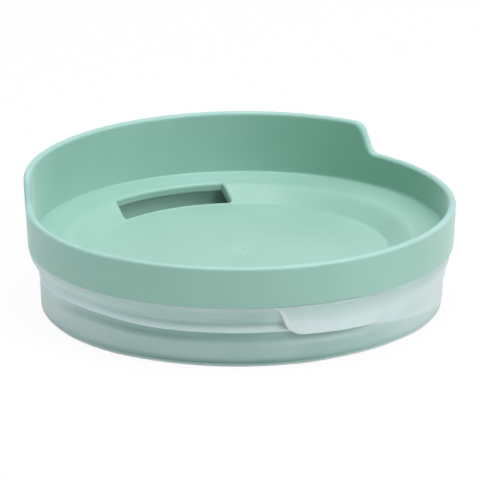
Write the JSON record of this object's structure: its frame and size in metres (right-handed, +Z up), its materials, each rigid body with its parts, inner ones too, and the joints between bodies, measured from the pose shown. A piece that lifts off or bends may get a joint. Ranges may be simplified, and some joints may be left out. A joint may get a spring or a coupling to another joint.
{
  "type": "drinking cup lid",
  "caption": "Round push-on lid for a reusable drinking cup: a rim wall with a raised part behind a curved drinking slot, a dished deck and a removable silicone seal with a pull tab.",
  "frame": {"origin": "on the lid's axis, at the level it stands on", "axes": "+Z up along the lid's axis, +Y towards the drinking slot, the pull tab at -Y"},
  "size_m": [0.092, 0.0923, 0.0291],
  "materials": {
    "lid_plastic": "fine matte moulded texture, pale green",
    "seal_silicone": "translucent satin silicone"
  },
  "bodies": {
    "seal": {"seal_sleeve": "seal_silicone"},
    "lid": {"lid_body": "lid_plastic"},
    "tab": {"seal_pull_tab": "seal_silicone"}
  },
  "joints": [
    {"name": "lid_lift", "type": "slide", "parent": "seal", "child": "lid", "axis": [0, 0, 1], "range_m": [0, 0.03]},
    {"name": "tab_bend", "type": "hinge", "parent": "seal", "child": "tab", "pos_m": [0, -0.04555, 0.012], "axis": [-1, 0, 0], "range_deg": [0, 70], "stiffness_Nm_per_rad": 0.002}
  ]
}
